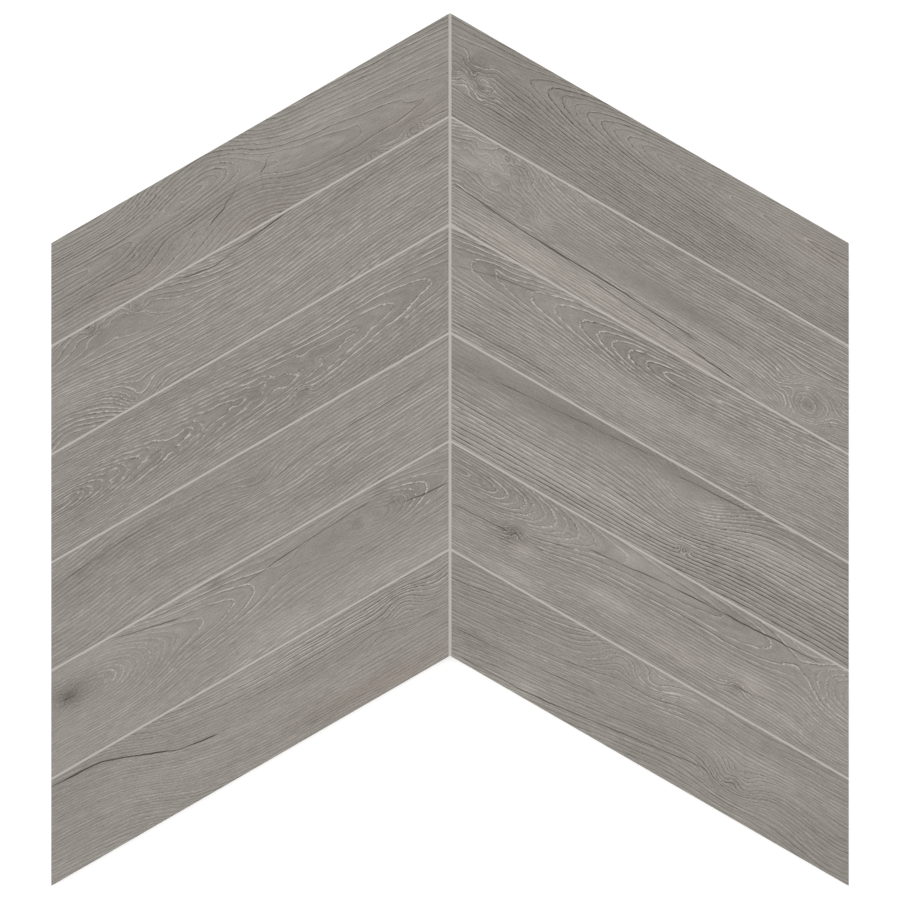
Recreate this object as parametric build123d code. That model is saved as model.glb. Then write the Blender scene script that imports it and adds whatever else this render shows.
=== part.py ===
"""Chevron sheet of wood-look porcelain planks, in millimetres.

Two columns of planks lean up to a spine joint in the middle. Each plank is a fired parallelogram with a
fine arris ground round its face, and the two at the tip are trimmed a little narrower than the others.
Pale grout fills the joints to just below the faces, and a thin glass-fibre mesh glued under the planks
holds the sheet together.

Frame: X runs across the sheet, +Y points at the chevron's tip and +Z is up, out of the wood-look faces.
The origin is under the middle of the sheet's outline, on the floor that the mesh lies on.
"""
from build123d import *
from math import cos, radians, tan
import os

# Driving dimensions
plank_width = 45.8  # across the grain, between the two long edges
tip_plank_width = 44.2  # the same for the two planks at the tip
plank_length = 230.0  # along one long edge, from mitre to mitre
plank_thickness = 9.0
arris = 0.3  # bevel round the face of each plank
chevron_angle = 30.0  # degrees that the planks slope up towards the spine
rows = 6
row_joint = 1.2  # between the planks of one column
spine_joint = 1.6  # between the two columns
joint_recess = 0.35  # depth of the grout below the faces
mesh_thickness = 0.4
mesh_setback = 3.0  # how far the mesh stays inside the outline

# Sizes that follow from them, measured along X and Y
slope = tan(radians(chevron_angle))
upright = 1 / cos(radians(chevron_angle))  # length along Y of a width taken square to the planks
column_width = plank_length / upright
plank_height = plank_width * upright
tip_plank_height = tip_plank_width * upright
row_pitch = (plank_width + row_joint) * upright
half_spine = spine_joint / 2
half_width = half_spine + column_width
side_height = (rows - 1) * row_pitch + tip_plank_height
sheet_height = side_height + half_width * slope

# Heights of the layers
plank_bottom = mesh_thickness
plank_top = plank_bottom + plank_thickness
grout_top = plank_top - joint_recess

# Height above the lower outline of each row's lower edge, from the tip down
row_bases = [(rows - row) * row_pitch for row in range(1, rows + 1)]


def lower_edge(x):
    """Y of the sheet's lower outline at x: highest at the notch, falling away to both sides."""
    notch = sheet_height / 2 - side_height
    return notch - abs(x) * slope


def slanted_band(x_from, x_to, base, height):
    """Parallelogram between two values of X, from base to base + height above the lower outline."""
    return make_face(
        Polyline(
            (x_from, lower_edge(x_from) + base),
            (x_to, lower_edge(x_to) + base),
            (x_to, lower_edge(x_to) + base + height),
            (x_from, lower_edge(x_from) + base + height),
            close=True,
        )
    )


def chevron_band(half, base, height):
    """Arrow shape of the given half width, from base to base + height above the lower outline."""
    return make_face(
        Polyline(
            (-half, lower_edge(half) + base),
            (0, lower_edge(0) + base),
            (half, lower_edge(half) + base),
            (half, lower_edge(half) + base + height),
            (0, lower_edge(0) + base + height),
            (-half, lower_edge(half) + base + height),
            close=True,
        )
    )


def raised(face, bottom, top):
    """The face pushed up into a solid between two heights."""
    return extrude(Pos(0, 0, bottom) * face, amount=top - bottom, dir=(0, 0, 1))


def plank(side, base, height):
    """One plank on the side -1 (left) or +1 (right), with its arris round the face."""
    outline = slanted_band(side * half_spine, side * half_width, base, height)
    block = raised(outline, plank_bottom, plank_top)
    return chamfer(block.edges().group_by(Axis.Z)[-1], arris)


def joint_grout():
    """The spine with a chevron rib under each row but the last, cast as one piece."""
    spine = raised(chevron_band(half_spine, 0, side_height), plank_bottom, grout_top)
    joint_height = row_joint * upright
    ribs = [
        raised(chevron_band(half_width, base - joint_height, joint_height), plank_bottom, grout_top)
        for base in row_bases[:-1]
    ]
    return spine.fuse(*ribs).clean()


def backing_mesh():
    """The mesh's envelope: a thin chevron set back from the outline all round."""
    setback_height = mesh_setback * upright
    outline = chevron_band(half_width - mesh_setback, setback_height, side_height - 2 * setback_height)
    return raised(outline, 0, mesh_thickness)


pieces = {"joint_grout": joint_grout(), "backing_mesh": backing_mesh()}
for row, base in enumerate(row_bases, start=1):
    height = tip_plank_height if row == 1 else plank_height
    pieces[f"plank_left_{row}"] = plank(-1, base, height)
    pieces[f"plank_right_{row}"] = plank(1, base, height)

os.makedirs("parts", exist_ok=True)
for name, piece in pieces.items():
    export_step(piece, f"parts/{name}.step")
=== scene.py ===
"""Looks of the chevron sheet: wood-look porcelain planks, sanded grout joints and a glass-fibre backing net.

The grain of every plank is worked out as fields over its face, in millimetres along and across the plank.
The fields press the face by hundredths of a millimetre and reach the material as mesh attributes.
"""
from dataclasses import dataclass, field
from math import cos, pi, radians, sin, tan

import bpy
import numpy as np
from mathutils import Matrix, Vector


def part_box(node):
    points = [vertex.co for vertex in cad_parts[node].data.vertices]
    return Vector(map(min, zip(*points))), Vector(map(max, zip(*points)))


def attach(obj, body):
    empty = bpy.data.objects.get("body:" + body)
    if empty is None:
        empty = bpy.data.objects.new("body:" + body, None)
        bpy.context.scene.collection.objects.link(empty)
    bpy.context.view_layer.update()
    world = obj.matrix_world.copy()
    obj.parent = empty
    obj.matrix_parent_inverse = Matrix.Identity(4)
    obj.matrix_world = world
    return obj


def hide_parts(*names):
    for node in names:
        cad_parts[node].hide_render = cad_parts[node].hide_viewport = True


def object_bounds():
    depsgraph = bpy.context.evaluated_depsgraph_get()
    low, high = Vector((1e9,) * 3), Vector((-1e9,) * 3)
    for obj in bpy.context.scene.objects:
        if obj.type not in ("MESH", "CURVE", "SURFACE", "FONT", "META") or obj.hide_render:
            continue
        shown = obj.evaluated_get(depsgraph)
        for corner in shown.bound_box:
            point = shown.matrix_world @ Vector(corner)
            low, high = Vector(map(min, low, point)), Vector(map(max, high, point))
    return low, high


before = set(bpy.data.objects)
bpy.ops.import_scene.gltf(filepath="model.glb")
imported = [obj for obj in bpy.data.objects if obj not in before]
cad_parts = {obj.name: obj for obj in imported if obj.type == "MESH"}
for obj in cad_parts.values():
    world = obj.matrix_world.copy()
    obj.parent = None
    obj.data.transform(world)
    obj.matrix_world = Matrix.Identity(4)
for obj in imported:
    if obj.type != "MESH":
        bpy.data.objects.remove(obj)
cad_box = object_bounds()

# Sizes, in metres
MM = 0.001
CHEVRON_ANGLE = radians(30)
ROWS = 6
ARRIS = 0.3 * MM
ARRIS_STEPS = 4
FACE_STEPS_ALONG = 192
FACE_STEPS_ACROSS = 150
RING_RELIEF = 0.04 * MM
SPLIT_RELIEF = 0.16 * MM
SPLIT_HALF_WIDTH = 0.4  # millimetres, as the fields are
SPLIT_TAPER = 5.0  # the same
RELIEF_FADE = 1.0 * MM
NET_PITCH = 6 * MM
STRAND_THICKNESS = 0.2 * MM
WEFT_WIDTH = 1.1 * MM
WARP_WIDTH = 0.55 * MM
WARP_SPREAD = 0.3 * MM

# Grain fields

NOISE_CELLS = 128
BEND_REACH = 10.0  # millimetres


def lattice_noise(along, across, cell_along, cell_across, seed):
    """Smooth noise from -1 to 1: random values on a lattice of cells, blended by the quintic fade of each axis."""
    lattice = np.random.default_rng(seed).uniform(-1, 1, (NOISE_CELLS, NOISE_CELLS))
    a, b = along / cell_along, across / cell_across
    i, j = np.floor(a).astype(int), np.floor(b).astype(int)
    s, t = a - i, b - j
    s, t = s ** 3 * (s * (6 * s - 15) + 10), t ** 3 * (t * (6 * t - 15) + 10)
    i, j, i_next, j_next = i % NOISE_CELLS, j % NOISE_CELLS, (i + 1) % NOISE_CELLS, (j + 1) % NOISE_CELLS
    near = lattice[i, j] * (1 - s) + lattice[i_next, j] * s
    far = lattice[i, j_next] * (1 - s) + lattice[i_next, j_next] * s
    return near * (1 - t) + far * t


def spots(along, across, places):
    """Sum of oval Gaussian spots, each given as along, across, reach along, reach across and height."""
    total = np.zeros_like(along)
    for centre_along, centre_across, reach_along, reach_across, height in places:
        away = ((along - centre_along) / reach_along) ** 2 + ((across - centre_across) / reach_across) ** 2
        total += height * np.exp(-away)
    return total


def bent(points, along):
    """A line through points, rounded at its corners: straight runs averaged over a short stretch to either side."""
    route = np.array(points, dtype=float)
    offsets = np.linspace(-BEND_REACH, BEND_REACH, 9)
    return np.mean([np.interp(along + offset, route[:, 0], route[:, 1]) for offset in offsets], axis=0)


def curl(along, across, seed):
    """Noise of two sizes that curls the grain of a burl and marbles its tone."""
    return lattice_noise(along, across, 11, 7, seed + 1) + 0.5 * lattice_noise(along, across, 5, 3.5, seed + 2)


@dataclass
class Figure:
    """The grain of one plank. Lengths are millimetres along the plank and down across it from the upper edge."""

    pith: list  # points of the line that the growth rings circle, as along and across
    ring_width: float
    sink: list = field(default_factory=lambda: [(0, 0)])  # depth of that line: an arch ends at each ring it passes
    swells: list = field(default_factory=list)  # spots that add rings: they bend lines or close them to loops
    knots: list = field(default_factory=list)  # small dark eyes with rings of their own: along, across and radius
    eyes: list = field(default_factory=list)  # large knots cut across: along, across, radius and number of rings
    burls: list = field(default_factory=list)  # spots of curly grain, in rings
    splits: list = field(default_factory=list)  # drying cracks: strength and the points passed through
    shades: list = field(default_factory=list)  # spots of lighter or darker tone
    blush: list = field(default_factory=list)  # spots of warm tint
    dark: float = 1.0  # strength of the dark late wood
    dark_spots: list = field(default_factory=list)
    pale: float = 0.5  # strength of the limed early wood
    pale_spots: list = field(default_factory=list)
    tone: float = 0.0
    wander: float = 0.5  # unevenness of the lines, in rings
    crowding: float = 1.0  # how much the rings differ in width
    teeth: float = 3.0  # how far a line that cuts across the fibre is pulled along it


FIGURES = {
    "left_1": Figure(
        pith=[(-26, 21), (35, 21), (50, 16), (78, 12.5), (98, 12), (112, 19), (125, 25), (160, 28), (230, 31)],
        ring_width=1.8,
        sink=[(-26, 0), (30, 3), (46, 7), (60, 3), (78, 0), (92, 4), (104, 9), (160, 10), (207, 12.6), (230, 13.5)],
        swells=[(55, 44, 32, 10, -4), (15, 2, 45, 9, 3)],
        knots=[(186, 41, 3), (163, 42, 2.5)],
        splits=[
            (1.0, [(71, 34), (76, 30.5), (83, 28.6), (87, 25.6), (91, 24.4), (95, 20.8), (98, 20)]),
            (1.0, [(103, 29.5), (106.5, 29), (108, 22.5), (112, 20.5), (115, 17), (119, 16.5)]),
            (0.7, [(38, 32), (44, 31), (48, 28), (53, 27)]),
        ],
        shades=[(30, 28, 26, 8, -0.1), (152, 13, 20, 6, 0.12), (160, 34, 50, 6, -0.12)],
        blush=[(190, 36, 16, 6, 1.0), (96, 40, 24, 3, 0.9), (20, 38, 30, 5, 0.7)],
        dark=0.72, pale=0.38, dark_spots=[(20, 8, 40, 10, 0.4), (120, 33, 40, 7, -0.35)], wander=0.5,
        crowding=0.5, tone=-0.012,
    ),
    "left_2": Figure(
        pith=[(-26, 70), (60, 74), (110, 73), (165, 67), (230, 64)], ring_width=1.6,
        swells=[(40, 0, 44, 13, -9), (-12, 36, 30, 14, -6), (27, 43, 11, 7, 4.4)],
        knots=[(22, 2, 3), (47, 4, 3)],
        burls=[(32, 4, 22, 5, 0.7), (24, 41, 9, 4, 0.4)],
        splits=[(0.9, [(71, 2.2), (91, 5.5), (136, 0.3)]), (0.6, [(200, 15), (212, 14), (222, 15)])],
        shades=[(30, 6, 60, 7, -0.06), (190, 8, 60, 6, -0.07), (150, 25, 60, 5, 0.07)],
        dark=0.6, pale=0.75, pale_spots=[(90, 9, 20, 8, 0.6), (30, 8, 24, 9, 0.3), (20, 38, 20, 7, 0.7)], crowding=0.7,
        tone=-0.012,
    ),
    "left_3": Figure(
        pith=[(-26, 24), (60, 24), (140, 24), (185, 20), (230, 17)], ring_width=1.15,
        sink=[(-26, 0), (3, 2.3), (13, 4.6), (34, 6.9), (47, 9.2), (77, 11.5), (108, 13.8), (158, 16.1), (230, 19.5)],
        knots=[(125, 35, 3.5)],
        burls=[(80, 24, 100, 5, 0.8)],
        splits=[(0.5, [(40, 26), (46, 25), (52, 24)])],
        shades=[(100, 21, 90, 6, -0.07), (0, 25, 20, 8, -0.06)],
        dark=0.42, pale=0.65, pale_spots=[(90, 23, 120, 8, 1.0), (200, 8, 40, 6, 0.6)], wander=0.3, teeth=9, tone=-0.085,
        crowding=0.4,
    ),
    "left_4": Figure(
        pith=[(-26, 81), (0, 79.5), (22, 76), (44, 73.5), (66, 74.5), (110, 76), (133, 75), (162, 72), (230, 69)],
        ring_width=1.8,
        swells=[(111, 16, 14, 5, 2.7)],
        splits=[
            (0.5, [(0, 10.3), (30, 8), (66, 6.6)]), (0.4, [(3, 15.5), (18, 14)]),
            (0.6, [(116, 19), (150, 15), (170, 14.3), (220, 14)]), (0.5, [(125, 11), (133, 9.6)]),
            (0.4, [(44, 40), (60, 40)]),
        ],
        shades=[(109, 16, 9, 4, -0.2), (40, 11, 70, 4, -0.15), (5, 18, 14, 8, -0.1), (160, 8, 60, 8, 0.08),
                (50, 40, 60, 5, 0.12), (145, 36, 25, 5, -0.1)],
        dark=0.45, pale=0.5, pale_spots=[(180, 26, 60, 14, 0.4)], tone=-0.034, crowding=0.35,
    ),
    "left_5": Figure(
        pith=[(-26, 15), (30, 16), (100, 14), (170, 12), (230, 14)], ring_width=1.25,
        sink=[(-26, 2.7), (0, 0.4), (29, 5), (52, 13.4), (63, 15.2), (94, 17), (122, 19.6), (230, 21.4)],
        swells=[(177, 13, 27, 9, -5)],
        knots=[(1.5, 15, 4), (170, 12.5, 3)],
        burls=[(120, 38, 60, 8, 0.7), (176, 12, 14, 7, 1.3)],
        splits=[
            (0.8, [(35, 0.7), (52, 5), (71, 9)]), (0.7, [(69, 1), (78, 3.7)]),
            (0.8, [(102, 10.3), (133, 7.4), (183, 5.6)]), (0.5, [(183.5, 11.5), (196, 11.5)]),
            (1.0, [(194, 14.7), (207, 16), (222, 17)]), (0.9, [(-6, 15), (7, 15.5)]),
        ],
        shades=[(5, 15, 14, 8, -0.2), (2, 15, 7, 5, -0.14), (93, 3, 6, 3.5, -0.22), (187, 3, 5, 3.5, -0.2), (200, 13, 10, 6, -0.15),
                (150, 14, 25, 5, -0.08), (140, 40, 70, 6, 0.1)],
        dark=0.45, dark_spots=[(110, 38, 130, 9, -0.2), (25, 15, 40, 10, -0.35), (160, 14, 30, 8, -0.45)], pale=0.5,
        pale_spots=[(95, 13, 24, 7, 0.7), (29, 15, 5, 6, 0.5), (207, 13, 10, 9, 1.0), (155, 14, 26, 9, -0.9),
                    (6, 15, 14, 9, -0.4)],
        wander=0.3, tone=0.015, crowding=0.3,
    ),
    "left_6": Figure(
        pith=[(-26, -37), (0, -36), (26, -34), (37, -31), (49, -26), (63, -21), (86, -17), (120, -15), (230, -16)],
        ring_width=1.5,
        swells=[(197, 11, 9, 6, 2.5), (218, 12, 14, 8, -2.5), (180, 19, 14, 3, 1.9)],
        splits=[
            (1.3, [(-4, 2.4), (26.5, 4.4), (37, 8), (49, 13), (63, 18.4), (86, 22)]),
            (0.5, [(166, 17.5), (178, 17), (192, 19.5)]), (0.4, [(196, 22), (214, 23)]),
        ],
        shades=[(15, 5, 25, 6, -0.12), (140, 4, 50, 6, 0.14), (130, 18, 40, 4, -0.06), (150, 40, 40, 5, -0.1)],
        blush=[(170, 40, 34, 6, 1.2), (120, 36, 30, 6, 0.4)],
        dark=0.5, dark_spots=[(170, 5, 50, 9, 1.0)], pale=0.4, pale_spots=[(170, 5, 50, 8, 0.7)], tone=-0.005,
    ),
    "right_1": Figure(
        pith=[(-5, 10), (60, 9), (120, 9.5), (230, 9)], ring_width=1.4,
        sink=[(0, 12.6), (50, 12.6), (61, 11.2), (82, 8.4), (101, 5.6), (120, 2.8), (129, 1.4), (230, 0.5)],
        swells=[(260, 20, 130, 40, -8)],
        burls=[(28, 24, 14, 8, 3.0)],
        shades=[(38, 20, 20, 9, -0.14), (60, 30, 25, 10, -0.09), (215, 15, 40, 14, 0.08), (205, 40, 25, 5, 0.12)],
        blush=[(215, 10, 20, 5, 0.8)],
        dark=0.9, dark_spots=[(30, 22, 16, 9, -0.7), (150, 30, 80, 14, 0.35)], pale=0.3,
        pale_spots=[(28, 24, 14, 8, 1.2), (150, 30, 80, 14, 0.15)], tone=-0.055,
        wander=0.3, crowding=0.5,
    ),
    "right_2": Figure(
        pith=[(0, 66), (60, 67), (130, 70), (230, 68)], ring_width=1.4,
        swells=[(30, -4, 32, 20, -9), (222, 33, 36, 15, 4), (227, 35, 17, 12, 4)],
        eyes=[(227, 35, 15, 7)],
        burls=[(30, 12, 24, 12, 2.4), (62, 22, 14, 6, 1.6), (226, 35, 14, 9, 1.1)],
        splits=[
            (1.0, [(14, 27.3), (41, 30), (80, 31.7), (120, 32.7), (164, 35)]),
            (1.0, [(100, 35.4), (143, 38.6), (190, 42.8)]), (0.4, [(165, 26), (186, 26.5)]),
        ],
        blush=[(80, 41, 60, 6, 0.7), (160, 44, 30, 4, 0.5)],
        shades=[(150, 24, 50, 5, -0.21), (70, 40, 60, 6, 0.34), (160, 43, 40, 4, 0.24), (200, 10, 40, 10, -0.09),
                (226, 35, 6, 4, -0.26)],
        dark=0.8, dark_spots=[(125, 25, 52, 5, -1.0), (34, 14, 30, 12, -0.5), (226, 35, 12, 9, -0.45)],
        pale=0.8, pale_spots=[(38, 14, 30, 13, -0.3), (210, 30, 22, 13, 0.5), (125, 25, 52, 5, -1.0),
                                (226, 35, 11, 9, -0.5)],
        wander=0.4, crowding=0.6, tone=-0.01,
    ),
    "right_3": Figure(
        pith=[(0, 13), (70, 9), (120, 10.5), (160, 9), (230, 3)], ring_width=1.3,
        sink=[(0, 15.6), (50, 12.1), (70, 10.4), (82, 9.1), (94, 7.8), (103, 6.5), (117, 3.9), (133, 1.3), (230, 0)],
        knots=[(196, 36, 3)],
        burls=[(28, 8, 9, 6, 0.5)],
        splits=[
            (0.6, [(9, 17), (30, 11), (56, 6.6)]), (0.8, [(24, 40.5), (60, 39.8), (82, 39.6)]),
            (0.5, [(178, 45), (196, 43.5)]),
        ],
        shades=[(20, 8, 20, 8, -0.14), (115, 9, 40, 8, -0.11), (120, 28, 110, 7, 0.09), (50, 39, 25, 3, -0.07)],
        dark=0.65, pale=0.75, pale_spots=[(100, 8, 36, 9, 1.6), (25, 8, 14, 7, 1.2), (205, 8, 30, 7, 1.0)], wander=0.3,
        teeth=5, crowding=0.4, tone=-0.017,
    ),
    "right_4": Figure(
        pith=[(0, -30), (110, -30), (150, -33), (190, -36), (230, -37)], ring_width=2.2,
        swells=[(147, 0, 24, 24, -8.5)],
        knots=[(155, 35, 1.6)],
        splits=[(0.6, [(30, 9), (70, 6), (120, 2.2)]), (0.7, [(131, 5), (150, 3.4), (176, 2.2)])],
        shades=[(110, 2, 60, 5, -0.21), (50, 9, 70, 6, -0.18), (200, 17, 40, 8, 0.19), (60, 32, 70, 9, 0.16),
                (208, 2, 45, 4, -0.16)],
        dark=1.6, dark_spots=[(60, 7, 85, 16, -2.0), (147, 6, 22, 11, -1.0), (208, 2, 45, 6, -1.2)], tone=-0.01,
        pale=0.7, pale_spots=[(55, 3, 95, 11, -0.8), (147, 6, 18, 9, -0.5), (158, 12, 7, 6, 0.9)], wander=0.3,
        crowding=0.3,
    ),
    "right_5": Figure(
        pith=[(0, 10), (60, 9), (100, 7), (140, 7), (230, 9)], ring_width=1.2,
        sink=[(0, 0), (17, 1.2), (32, 3.6), (57, 9.6), (85, 14.4), (110, 15.5), (180, 17), (212, 20), (235, 13)],
        knots=[(50, 22, 3), (184, 34, 4)],
        splits=[
            (1.0, [(84, 12), (128, 7.4), (178, 5), (216, 3)]), (1.0, [(15, 25.8), (49, 24.3)]),
            (0.7, [(55, 21.4), (81, 15.5)]), (0.8, [(180, 34), (196, 34)]),
        ],
        shades=[(25, 8, 25, 10, -0.15), (48, 25, 8, 4, -0.28), (165, 5, 14, 6, -0.2), (108, 28, 14, 6, 0.2),
                (58, 29, 6, 3.5, 0.3), (60, 42, 14, 4, 0.22), (191, 29, 9, 4, 0.27), (105, 4, 14, 4, 0.15),
                (152, 34, 14, 4, 0.18), (216, 38, 12, 4, 0.18), (130, 20, 60, 4, -0.08)],
        blush=[(56, 29, 6, 4, 0.5), (112, 29, 8, 5, 0.4), (150, 34, 20, 6, 0.5), (192, 31, 8, 5, 0.5),
               (60, 43, 12, 4, 0.4), (215, 38, 16, 6, 0.4)],
        dark=0.55, pale=0.6, pale_spots=[(50, 9, 45, 7, 0.5), (200, 8, 24, 6, 0.2)], wander=0.3, teeth=5,
        tone=0.01, crowding=0.3,
    ),
    "right_6": Figure(
        pith=[(0, -14), (60, -21), (150, -32), (180, -31), (230, -33)], ring_width=1.6,
        swells=[(181, 29, 14, 8, -6), (100, 3, 16, 9, 5), (120, 7, 10, 5, -2.5), (242, 40, 30, 20, -5)],
        knots=[(181, 29, 3.5)],
        splits=[
            (0.6, [(19, 32.7), (66, 28.8), (102, 25.8)]),
            (0.9, [(28, 43.5), (66, 42.8), (105, 38.4), (149, 32.5), (164, 31), (171, 33)]),
        ],
        shades=[(40, 35, 14, 5, -0.12), (65, 42, 10, 6, 0.12), (200, 18, 40, 6, 0.12), (135, 27, 30, 5, -0.1),
                (155, 4, 25, 5, 0.14)],
        dark=0.6, dark_spots=[(181, 35, 16, 7, 0.8)], pale=0.4, pale_spots=[(126, 9, 14, 6, 1.2)], tone=-0.055,
    ),
}


def plain_rings(figure, along, across):
    """Rings counted out from the pith: the distance to the pith line, which lies at some depth below the face,
    divided by the ring width, plus swells and small knots."""
    beside = across - bent(figure.pith, along)
    rings = np.hypot(beside, bent(figure.sink, along)) / figure.ring_width
    rings += spots(along, across, figure.swells)
    return rings + spots(along, across, [(a, c, 1.5 * r, 1.1 * r, 2.5) for a, c, r in figure.knots])


def ring_number(figure, along, across, seed):
    """The plain rings, which give way to closed ovals in an eye, with curly burls and two sizes of unevenness
    stretched along the grain. Last, noise over the count itself makes some rings wide and crowds others."""
    rings = plain_rings(figure, along, across)
    for eye_along, eye_across, radius, count in figure.eyes:
        level = plain_rings(figure, np.array([eye_along], float), np.array([eye_across], float))
        out = np.hypot((along - eye_along) / 1.4, across - eye_across) / radius
        inside = np.clip(1.8 * (1 - out), 0, 1)
        inside = inside ** 2 * (3 - 2 * inside)
        rings = rings * (1 - inside) + (level - count * out) * inside
    curly = figure.burls + [(a, c, 2 * r, 1.6 * r, 0.8) for a, c, r in figure.knots]
    rings += curl(along, across, seed) * spots(along, across, curly)
    slow = lattice_noise(along, across, 45, 9, seed + 3)
    quick = lattice_noise(along, across, 14, 3.5, seed + 4)
    rings += figure.wander * (slow + 0.35 * quick)
    wide = lattice_noise(rings, 0 * rings, 7, 1, seed + 9)
    narrow = lattice_noise(rings, 0 * rings, 2.3, 1, seed + 10)
    return rings + figure.crowding * (0.9 * wide + 0.5 * narrow)


def split_lanes(figure):
    """The cracks dealt into two lanes, so that no two cracks of a lane share a place along the plank."""
    lanes = [[], []]
    for strength, points in sorted(figure.splits, key=lambda split: split[1][0][0]):
        lane = lanes[0] if not lanes[0] or lanes[0][-1][1][-1][0] < points[0][0] else lanes[1]
        lane.append((strength, points))
    return lanes


def split_field(lane, along, across, seed):
    """Offset from the crack's line, which runs through its points with a small jitter, and the crack's strength,
    which tapers off at both ends."""
    strength = np.zeros_like(along)
    if not lane:
        return np.full_like(along, 9.0), strength
    route = np.array([point for _, points in lane for point in points], dtype=float)
    line = np.interp(along, route[:, 0], route[:, 1])
    line += 0.22 * lattice_noise(along, 0 * across, 9, 1, seed + 5)
    line += 0.1 * lattice_noise(along, 0 * across, 2.5, 1, seed + 6)
    for full, points in lane:
        inside = np.minimum(along - points[0][0], points[-1][0] - along)
        strength += full * np.clip(inside / SPLIT_TAPER, 0, 1)
    strength *= 0.9 + 0.3 * lattice_noise(along, 0 * across, 13, 1, seed + 11)
    return across - line, strength


def plank_fields(name, along, across, seed):
    """Every field of a plank's face, three columns each: rings with their slopes, both crack lanes, tints and line
    strengths."""
    figure = FIGURES[name]
    step = 0.05
    rings = ring_number(figure, along, across, seed)
    slope_along = (ring_number(figure, along + step, across, seed) - rings) / step
    slope_across = (ring_number(figure, along, across + step, seed) - rings) / step
    lanes = split_lanes(figure)
    split_a, strength_a = split_field(lanes[0], along, across, seed)
    split_b, strength_b = split_field(lanes[1], along, across, seed + 50)
    cloud = 0.6 * lattice_noise(along, across, 60, 14, seed + 7) + 0.4 * lattice_noise(along, across, 22, 6, seed + 8)
    shade = figure.tone + 0.1 * cloud + spots(along, across, figure.shades)
    shade += spots(along, across, [(a, c, r, 0.8 * r, -0.18) for a, c, r in figure.knots])
    shade += 0.1 * curl(along, across, seed) * spots(along, across, figure.burls)
    blush = spots(along, across, figure.blush)
    dark = np.maximum(figure.dark + spots(along, across, figure.dark_spots), 0)
    pale = np.maximum(figure.pale + spots(along, across, figure.pale_spots), 0)
    return {
        "rings": (rings, slope_along, np.hypot(slope_along, slope_across)),
        "grain": (along, across, np.full_like(along, seed)),
        "split_a": (split_a, strength_a, strength_a),
        "split_b": (split_b, strength_b, strength_b),
        "tint": (shade, blush, blush),
        "lines": (dark, pale, np.full_like(along, figure.teeth)),
    }


# Plank mesh


def outline(box, side, p, q, inset):
    """Points inside a plank's slanted outline: p runs from its left to its right end, q from the upper to the lower
    edge, and the whole outline is first drawn in by the inset."""
    low, high = box
    fall = tan(CHEVRON_ANGLE)
    drawn_in = inset / cos(CHEVRON_ANGLE)
    height = high.y - low.y - (high.x - low.x) * fall
    x = low.x + inset + p * (high.x - low.x - 2 * inset)
    upper = high.y - (high.x - x if side == "left" else x - low.x) * fall
    return x, upper - drawn_in - q * (height - 2 * drawn_in)


def grain_axes(box, side, x, y):
    """Millimetres along the plank and down across it, measured from its upper left corner."""
    low, _ = box
    lean = 1 if side == "left" else -1
    right, down = x - low.x, outline(box, side, 0, 0, 0)[1] - y
    along = right * cos(CHEVRON_ANGLE) - lean * down * sin(CHEVRON_ANGLE)
    across = lean * right * sin(CHEVRON_ANGLE) + down * cos(CHEVRON_ANGLE)
    return along / MM, across / MM


def face_relief(fields, edge_distance):
    """Depth of the pressed grain: a shallow wave for each ring and a groove along each crack, fading out at the
    arris."""
    wave = 0.5 - 0.5 * np.cos(2 * pi * fields["rings"][0])
    depth = RING_RELIEF * wave * np.clip(fields["lines"][0], 0, 1)
    for lane in ("split_a", "split_b"):
        offset, strength, _ = fields[lane]
        depth = depth + SPLIT_RELIEF * strength * np.exp(-((offset / SPLIT_HALF_WIDTH) ** 2))
    return depth * np.clip(edge_distance / RELIEF_FADE, 0, 1)


def add_piece(name, vertices, faces, node, attributes):
    """A mesh object at the origin that stands for a node of the frame, with its per-vertex attributes."""
    mesh = bpy.data.meshes.new(name)
    mesh.from_pydata(vertices.tolist(), [], faces)
    for key, columns in attributes.items():
        layer = mesh.attributes.new(key, "FLOAT_VECTOR", "POINT")
        layer.data.foreach_set("vector", np.stack(columns, axis=-1).astype(np.float32).ravel())
    mesh.update()
    piece = bpy.data.objects.new(name, mesh)
    bpy.context.scene.collection.objects.link(piece)
    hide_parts(node)
    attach(piece, "root")
    return piece


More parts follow.
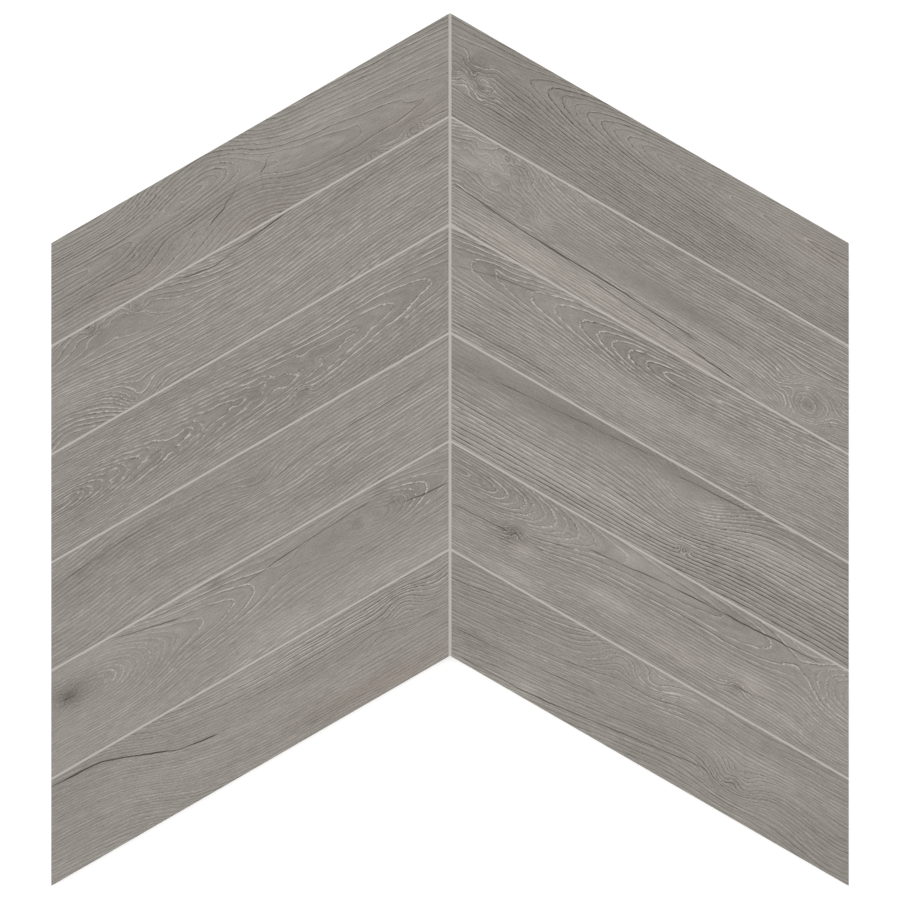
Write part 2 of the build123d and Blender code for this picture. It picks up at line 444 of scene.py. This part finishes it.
def plank(side, row, seed, face_material, body_material):
    """One plank as a closed mesh: a fine grid for the face, a quarter-round arris and plain sides carried round its
    rim as a profile, and a flat back of long strips."""
    name = f"{side}_{row}"
    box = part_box(f"plank_{name}")
    low, high = box
    grid = np.linspace(0, 1, FACE_STEPS_ALONG), np.linspace(0, 1, FACE_STEPS_ACROSS)
    p, q = np.meshgrid(*grid, indexing="ij")
    number = np.arange(p.size).reshape(p.shape)
    rim = np.concatenate([number[:-1, 0], number[-1, :-1], number[:0:-1, -1], number[0, :0:-1]])

    # The arris turns from level to upright, then the side drops straight to the back
    turn = np.linspace(0, pi / 2, ARRIS_STEPS + 1)[1:]
    insets = np.append(ARRIS * (1 - np.sin(turn)), 0)
    heights = np.append(high.z - ARRIS * (1 - np.cos(turn)), low.z)
    p = np.concatenate([p.ravel(), np.tile(p.ravel()[rim], len(insets))])
    q = np.concatenate([q.ravel(), np.tile(q.ravel()[rim], len(insets))])
    x, y = outline(box, side, p, q, np.append(np.full(number.size, ARRIS), np.repeat(insets, rim.size)))
    z = np.append(np.full(number.size, high.z), np.repeat(heights, rim.size))
    along, across = grain_axes(box, side, x, y)
    fields = plank_fields(name, along, across, seed)
    to_end = np.minimum(p, 1 - p) * (high.x - low.x)
    to_edge = np.minimum(across, across.max() - across) * MM
    z[: number.size] -= face_relief(fields, np.minimum(to_end, to_edge))[: number.size]

    face = np.stack([number[:-1, :-1], number[:-1, 1:], number[1:, 1:], number[1:, :-1]], axis=-1).reshape(-1, 4)
    loops = np.vstack([rim, number.size + np.arange(len(insets) * rim.size).reshape(len(insets), -1)])
    onward = np.roll(loops, -1, axis=1)
    skirt = np.stack([loops[:-1], onward[:-1], onward[1:], loops[1:]], axis=-1).reshape(-1, 4)
    foot = loops[-1]
    corner = FACE_STEPS_ALONG + FACE_STEPS_ACROSS - 2
    upper, lower = foot[:FACE_STEPS_ALONG], foot[corner : corner + FACE_STEPS_ALONG][::-1]
    strips = np.stack([upper[1:-2], upper[2:-1], lower[2:-1], lower[1:-2]], axis=-1)
    right_end = foot[FACE_STEPS_ALONG - 2 : corner + 2]
    left_end = np.append(foot[corner + FACE_STEPS_ALONG - 2 :], foot[:2])
    faces = face.tolist() + skirt.tolist() + strips.tolist() + [right_end.tolist(), left_end.tolist()]

    node = f"plank_{name}"
    piece = add_piece(node + "_print", np.stack([x, y, z], axis=-1), faces, node, fields)
    plain = np.arange(len(faces)) >= len(face) + ARRIS_STEPS * rim.size
    piece.data.materials.append(face_material)
    piece.data.materials.append(body_material)
    piece.data.polygons.foreach_set("material_index", plain.astype(np.int32))
    piece.data.polygons.foreach_set("use_smooth", ~plain)


# Backing net


def ribbon(start, end, fixed, runs_along_y, phase, width, sway, middle):
    """A flat four-sided strand from start to end at a fixed place across. Its height weaves as a cosine of one pitch,
    over and under, and its place across sways by the same cosine."""
    steps = np.arange(np.ceil(start / NET_PITCH * 2), np.floor(end / NET_PITCH * 2) + 1) * NET_PITCH / 2
    run = np.concatenate([[start], steps, [end]])
    wave = np.cos(pi * run / NET_PITCH) * phase
    corners_across = np.array([-0.5, 0.5, 0.5, -0.5]) * width
    corners_up = np.array([-0.5, -0.5, 0.5, 0.5]) * STRAND_THICKNESS
    across = fixed + sway * wave[:, None] + corners_across
    up = middle + STRAND_THICKNESS / 2 * wave[:, None] + corners_up
    run = np.broadcast_to(run[:, None], across.shape)
    points = np.stack([across, run, up] if runs_along_y else [run, across, up], axis=-1).reshape(-1, 3)
    number = np.arange(across.size).reshape(across.shape)
    turned = np.roll(number, -1, axis=1)
    sides = np.stack([number[:-1], turned[:-1], turned[1:], number[1:]], axis=-1).reshape(-1, 4)
    caps = np.stack([number[0, ::-1], number[-1]])
    quads = np.concatenate([sides, caps])
    return points, quads if runs_along_y else quads[:, ::-1], (run / MM, across / MM)


def backing_net(material):
    """Glass-fibre net cut to the set-back chevron: flat weft strands across, and pairs of twisted warp strands."""
    low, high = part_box("backing_mesh")
    fall = tan(CHEVRON_ANGLE)
    middle = (low.z + high.z) / 2
    depth = high.y - low.y - high.x * fall
    notch = high.y - depth
    strands = []
    for i in range(int(low.y // NET_PITCH) + 1, int(high.y // NET_PITCH) + 1):
        y = i * NET_PITCH
        outer = min(high.x, (high.y - y) / fall - WEFT_WIDTH)
        inner = max(0, (notch - y) / fall + WEFT_WIDTH)
        spans = [(-outer, -inner), (inner, outer)] if y < notch else [(-outer, outer)]
        for start, end in spans:
            if end - start > NET_PITCH:
                strands.append(ribbon(start, end, y, False, (-1) ** i, WEFT_WIDTH, 0, middle))
    for i in range(int(low.x // NET_PITCH) + 1, int(high.x // NET_PITCH) + 1):
        x = i * NET_PITCH
        top = high.y - abs(x) * fall - WEFT_WIDTH
        for phase in (-1, 1):
            sway = WARP_SPREAD * phase
            strands.append(ribbon(top - depth + 2 * WEFT_WIDTH, top, x, True, (-1) ** (i + 1), WARP_WIDTH, sway, middle))
    points = np.concatenate([strand[0] for strand in strands])
    starts = np.cumsum([0] + [len(strand[0]) for strand in strands[:-1]])
    quads = np.concatenate([strand[1] + start for strand, start in zip(strands, starts)])
    run = np.concatenate([strand[2][0].ravel() for strand in strands])
    across = np.concatenate([strand[2][1].ravel() for strand in strands])
    attributes = {"strand": (run, across, np.zeros_like(run))}
    piece = add_piece("backing_net", points, quads.tolist(), "backing_mesh", attributes)
    piece.data.materials.append(material)


# Materials


def srgb(red, green, blue):
    """A colour of 0 to 255 as linear values."""
    shown = np.array([red, green, blue]) / 255
    linear = np.where(shown <= 0.04045, shown / 12.92, ((shown + 0.055) / 1.055) ** 2.4)
    return (*linear.tolist(), 1.0)


LATE_WOOD = srgb(53, 44, 32)
EARLY_WOOD = srgb(185, 180, 173)
LATE_TONE = 0.1
EARLY_TONE = 1.8
BLUSH_TINT = (1.01, 0.965, 0.945, 1.0)
BODY_COLOUR = srgb(158, 152, 144)
GROUT_COLOUR = srgb(188, 183, 177)
NET_COLOUR = srgb(226, 227, 222)
FLOOR_COLOUR = srgb(238, 238, 238)


class Nodes:
    """Adds nodes to a tree. A value is a number, a colour, a vector or the socket that feeds it."""

    def __init__(self, tree):
        self.tree = tree

    def feed(self, socket, value):
        if isinstance(value, bpy.types.NodeSocket):
            self.tree.links.new(value, socket)
        else:
            socket.default_value = value

    def add(self, kind, values=None, **settings):
        node = self.tree.nodes.new("ShaderNode" + kind)
        for key, value in settings.items():
            setattr(node, key, value)
        for key, value in (values or {}).items():
            self.feed(node.inputs[key], value)
        return node

    def math(self, operation, *values):
        return self.add("Math", dict(enumerate(values)), operation=operation).outputs[0]

    def stretch(self, place, *sizes):
        """The place divided by a size on each axis."""
        return self.add("VectorMath", {0: place, 1: [1 / size for size in sizes]}, operation="MULTIPLY").outputs[0]

    def scaled(self, colour, tone):
        return self.add("VectorMath", {0: colour, "Scale": tone}, operation="SCALE").outputs[0]

    def parts(self, vector):
        return self.add("SeparateXYZ", {0: vector}).outputs

    def field(self, name):
        return self.add("Attribute", attribute_name=name, attribute_type="GEOMETRY").outputs["Vector"]

    def noise(self, place, detail=2.0):
        return self.add("TexNoise", {"Vector": place, "Scale": 1.0, "Detail": detail}).outputs[0]

    def step(self, value, start, end):
        return self.add("MapRange", {0: value, 1: start, 2: end}, interpolation_type="SMOOTHSTEP").outputs[0]

    def blend(self, factor, first, second, way="MIX"):
        node = self.add("Mix", data_type="RGBA", blend_type=way)
        self.feed(node.inputs["Factor"], factor)
        self.feed(node.inputs[6], first)
        self.feed(node.inputs[7], second)
        return node.outputs[2]


def new_material(name):
    """An empty material with a Principled shader."""
    material = bpy.data.materials.new(name)
    material.use_nodes = True
    material.node_tree.nodes.clear()
    nodes = Nodes(material.node_tree)
    shader = nodes.add("BsdfPrincipled")
    nodes.add("OutputMaterial", {"Surface": shader.outputs[0]})
    return material, nodes, shader


def speckle_group():
    """Shared effect: mineral speckle of two grain sizes, given as a tone about 1 and a height."""
    tree = bpy.data.node_groups.new("mineral_speckle", "ShaderNodeTree")
    for label, kind in (("Place", "Vector"), ("Contrast", "Float")):
        tree.interface.new_socket(label, in_out="INPUT", socket_type="NodeSocket" + kind)
    for label in ("Tone", "Height"):
        tree.interface.new_socket(label, in_out="OUTPUT", socket_type="NodeSocketFloat")
    nodes = Nodes(tree)
    given = tree.nodes.new("NodeGroupInput").outputs
    put = tree.nodes.new("NodeGroupOutput").inputs
    fine = nodes.noise(given["Place"])
    coarse = nodes.noise(nodes.stretch(given["Place"], 6, 6, 6), 3.0)
    both = nodes.math("MULTIPLY_ADD", coarse, 0.6, nodes.math("MULTIPLY", fine, 0.4))
    swing = nodes.math("SUBTRACT", both, 0.5)
    nodes.feed(put["Tone"], nodes.math("MULTIPLY_ADD", swing, given["Contrast"], 1.0))
    nodes.feed(put["Height"], fine)
    return tree


def speckled(name, group, colour, grain, contrast, roughness, bump):
    """A matt mineral surface: one colour toned by the shared speckle, which also roughens it."""
    material, nodes, shader = new_material(name)
    place = nodes.stretch(nodes.add("TexCoord").outputs["Object"], grain, grain, grain)
    speckle = nodes.add("Group", node_tree=group)
    nodes.feed(speckle.inputs["Place"], place)
    nodes.feed(speckle.inputs["Contrast"], contrast)
    tone, height = speckle.outputs
    nodes.feed(shader.inputs["Base Color"], nodes.scaled(colour[:3], tone))
    nodes.feed(shader.inputs["Roughness"], nodes.math("MULTIPLY", tone, roughness))
    lift = nodes.add("Bump", {"Height": height, "Strength": 0.6, "Distance": bump})
    nodes.feed(shader.inputs["Normal"], lift.outputs[0])
    shader.inputs["Specular IOR Level"].default_value = 0.25
    return material


def glass_fibre():
    """Off-white glass yarn: filaments as streaks along each strand."""
    material, nodes, shader = new_material("glass_fibre")
    filament = nodes.noise(nodes.stretch(nodes.field("strand"), 4, 0.12, 1), 3.0)
    tone = nodes.math("MULTIPLY_ADD", filament, 0.3, 0.85)
    nodes.feed(shader.inputs["Base Color"], nodes.scaled(NET_COLOUR[:3], tone))
    nodes.feed(shader.inputs["Roughness"], nodes.math("MULTIPLY_ADD", filament, 0.3, 0.3))
    lift = nodes.add("Bump", {"Height": filament, "Strength": 0.5, "Distance": 0.03 * MM})
    nodes.feed(shader.inputs["Normal"], lift.outputs[0])
    return material


def ring_lines(nodes, rings, grain, pull):
    """Dark late wood before each ring boundary and limed early wood after it. The boundary is toothed along the
    fibre and waves a little, both lines keep their width in millimetres, and their strength differs from ring to
    ring."""
    ring, slant, steep = nodes.parts(rings)
    teeth = nodes.math("SUBTRACT", nodes.noise(nodes.stretch(grain, 7, 0.8, 1)), 0.5)
    wave = nodes.math("SUBTRACT", nodes.noise(nodes.stretch(grain, 5, 1.5, 1)), 0.5)
    placed = nodes.math("MULTIPLY_ADD", nodes.math("MULTIPLY", teeth, slant), pull, ring)
    placed = nodes.math("MULTIPLY_ADD", nodes.math("MULTIPLY", wave, steep), 0.6, placed)
    part = nodes.math("FRACT", placed)
    chance = nodes.add("TexWhiteNoise", noise_dimensions="1D")
    nodes.feed(chance.inputs["W"], nodes.math("FLOOR", placed))
    first, second, _ = [nodes.math("POWER", value, 2.0) for value in nodes.parts(chance.outputs["Color"])]
    pitch = nodes.math("DIVIDE", 1.0, nodes.math("MAXIMUM", steep, 0.03))
    before = nodes.math("MULTIPLY", nodes.math("SUBTRACT", 1.0, part), pitch)
    after = nodes.math("MULTIPLY", part, pitch)

    dark_width = nodes.math("MINIMUM", nodes.math("MULTIPLY", pitch, 0.4), 0.75)
    dark = nodes.math("SUBTRACT", 1.0, nodes.math("MINIMUM", nodes.math("DIVIDE", before, dark_width), 1.0))
    dark = nodes.math("MULTIPLY", nodes.math("POWER", dark, 1.6), nodes.math("MULTIPLY_ADD", first, 0.65, 0.5))

    pale_width = nodes.math("MINIMUM", nodes.math("MULTIPLY", pitch, 0.19), 0.38)
    away = nodes.math("DIVIDE", nodes.math("ABSOLUTE", nodes.math("SUBTRACT", after, pale_width)), pale_width)
    pale = nodes.math("SUBTRACT", 1.0, nodes.math("MINIMUM", away, 1.0))
    dash = nodes.step(nodes.noise(nodes.stretch(grain, 9, 1.0, 1)), 0.36, 0.57)
    pale = nodes.math("MULTIPLY", nodes.math("MULTIPLY", pale, dash), nodes.math("MULTIPLY_ADD", second, 0.75, 0.45))
    return dark, pale


def crack_mask(nodes):
    """How dark the cracks are: each is a thin wedge about its line, as wide as it is strong."""
    crack = 0.0
    for lane in ("split_a", "split_b"):
        offset, strength, _ = nodes.parts(nodes.field(lane))
        width = nodes.math("MULTIPLY_ADD", strength, 0.2, 0.2)
        near = nodes.add("MapRange", {0: nodes.math("ABSOLUTE", offset), 1: width, 2: 0.12}).outputs[0]
        crack = nodes.math("MAXIMUM", crack, nodes.math("MULTIPLY", near, strength))
    return crack


def wood_print():
    """The printed face: ring lines, fibre streaks, clouds of tone, warm tint and drying cracks under a matt glaze."""
    material, nodes, shader = new_material("wood_print")
    grain = nodes.field("grain")
    rings = nodes.field("rings")
    dark_strength, pale_strength, pull = nodes.parts(nodes.field("lines"))
    dark, pale = ring_lines(nodes, rings, grain, pull)
    shade, blush, _ = nodes.parts(nodes.field("tint"))
    patch = nodes.noise(nodes.stretch(grain, 30, 4, 1))
    along, _, seed = nodes.parts(grain)
    flow = nodes.add("CombineXYZ", {0: along, 1: nodes.parts(rings)[0], 2: seed}).outputs[0]
    streak = nodes.noise(nodes.stretch(flow, 50, 0.27, 1), 2.0)
    fibre = nodes.noise(nodes.stretch(grain, 7, 0.3, 1), 1.0)
    tooth = nodes.noise(nodes.stretch(grain, 0.9, 0.45, 1), 0.0)

    uneven = nodes.math("MULTIPLY_ADD", patch, 1.8, nodes.math("MULTIPLY_ADD", streak, 1.2, -0.6))
    dark = nodes.math("MULTIPLY", nodes.math("MULTIPLY", dark, dark_strength), uneven)
    tone = nodes.math("MULTIPLY_ADD", dark, -1.1, nodes.math("ADD", shade, 1.0))
    tone = nodes.math("MULTIPLY_ADD", nodes.math("MULTIPLY", pale, pale_strength), 1.35, tone)
    lined = nodes.step(nodes.math("ADD", dark_strength, pale_strength), -0.6, 0.9)
    veil = nodes.math("MULTIPLY", nodes.math("SUBTRACT", streak, 0.5), lined)
    tone = nodes.math("MULTIPLY_ADD", veil, 0.6, tone)
    tone = nodes.math("MULTIPLY_ADD", nodes.math("SUBTRACT", fibre, 0.5), 0.75, tone)
    tone = nodes.math("MULTIPLY_ADD", nodes.math("SUBTRACT", tooth, 0.5), 0.45, tone)
    tone = nodes.math("MULTIPLY", tone, nodes.math("MULTIPLY_ADD", crack_mask(nodes), -0.85, 1.0))
    share = nodes.add("MapRange", {0: tone, 1: LATE_TONE, 2: EARLY_TONE}).outputs[0]
    wood = nodes.blend(share, LATE_WOOD, EARLY_WOOD)
    nodes.feed(shader.inputs["Base Color"], nodes.blend(blush, wood, BLUSH_TINT, "MULTIPLY"))
    nodes.feed(shader.inputs["Roughness"], nodes.math("MULTIPLY_ADD", streak, 0.2, 0.5))
    height = nodes.math("MULTIPLY_ADD", fibre, 0.5, streak)
    lift = nodes.add("Bump", {"Height": height, "Strength": 0.3, "Distance": 0.06 * MM})
    nodes.feed(shader.inputs["Normal"], lift.outputs[0])
    shader.inputs["Specular IOR Level"].default_value = 0.3
    return material


# Pieces

speckle = speckle_group()
face_material = wood_print()
body_material = speckled("porcelain_body", speckle, BODY_COLOUR, 0.35 * MM, 0.25, 0.7, 0.04 * MM)
grout_material = speckled("sanded_grout", speckle, GROUT_COLOUR, 0.25 * MM, 0.25, 0.9, 0.08 * MM)

for row in range(1, ROWS + 1):
    plank("left", row, 1000 + 100 * row, face_material, body_material)
    plank("right", row, 2000 + 100 * row, face_material, body_material)
backing_net(glass_fibre())
for material_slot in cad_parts["joint_grout"].material_slots:
    material_slot.material = grout_material

# Stage

SCENE = bpy.context.scene
FLOOR_HALF = 6.0
CAMERA_LENS = 200.0
CAMERA_SENSOR = 36.0
FRAME_WIDTH = 451.34 * MM  # seen at the height of the faces
FRAME_CENTRE_Y = -0.28 * MM
WORLD_LIGHT = 0.62
SUN_LIGHT = 0.38
SUN_TILT = radians(10)
SUN_SPREAD = radians(60)


def seen_directly(nodes):
    """1 for rays from the camera or by reflection or transmission, 0 for light that falls on surfaces."""
    path = nodes.add("LightPath").outputs
    seen = nodes.math("MAXIMUM", path["Is Camera Ray"], path["Is Glossy Ray"])
    return nodes.math("MAXIMUM", seen, path["Is Transmission Ray"])


def floor():
    """A white floor that keeps the sheet's soft shadow."""
    material, nodes, shader = new_material("studio_floor")
    shader.inputs["Base Color"].default_value = FLOOR_COLOUR
    shader.inputs["Roughness"].default_value = 1.0
    shader.inputs["Specular IOR Level"].default_value = 0.0
    shader.inputs["Emission Color"].default_value = (1, 1, 1, 1)
    nodes.feed(shader.inputs["Emission Strength"], nodes.math("MULTIPLY", seen_directly(nodes), 0.42))
    mesh = bpy.data.meshes.new("studio_floor")
    corners = [(x, y, 0) for x, y in ((-1, -1), (1, -1), (1, 1), (-1, 1))]
    mesh.from_pydata((np.array(corners) * FLOOR_HALF).tolist(), [], [(0, 1, 2, 3)])
    mesh.materials.append(material)
    piece = bpy.data.objects.new("studio_floor", mesh)
    SCENE.collection.objects.link(piece)


def light():
    """Even light: a white sky that is dimmer as light than as background, and a wide soft sun."""
    world = bpy.data.worlds.new("studio_sky")
    world.use_nodes = True
    nodes = Nodes(world.node_tree)
    world.node_tree.nodes.clear()
    strength = nodes.math("MULTIPLY_ADD", seen_directly(nodes), 1 - WORLD_LIGHT, WORLD_LIGHT)
    sky = nodes.add("Background", {"Color": (1, 1, 1, 1), "Strength": strength})
    nodes.add("OutputWorld", {"Surface": sky.outputs[0]})
    SCENE.world = world
    sun = bpy.data.lights.new("studio_sun", "SUN")
    sun.energy = SUN_LIGHT * pi / cos(SUN_TILT)
    sun.angle = SUN_SPREAD
    lamp = bpy.data.objects.new("studio_sun", sun)
    lamp.rotation_euler = (-SUN_TILT * 0.8, -SUN_TILT * 0.6, 0)
    SCENE.collection.objects.link(lamp)


def camera():
    """A long lens straight above the sheet, with the tip at the top of the picture."""
    lens = bpy.data.cameras.new("photo_camera")
    lens.lens = CAMERA_LENS
    lens.sensor_width = CAMERA_SENSOR
    holder = bpy.data.objects.new("photo_camera", lens)
    distance = FRAME_WIDTH * CAMERA_LENS / CAMERA_SENSOR
    holder.location = (0, FRAME_CENTRE_Y, cad_box[1].z + distance)
    SCENE.collection.objects.link(holder)
    SCENE.camera = holder


floor()
light()
camera()
SCENE.view_settings.view_transform = "Standard"
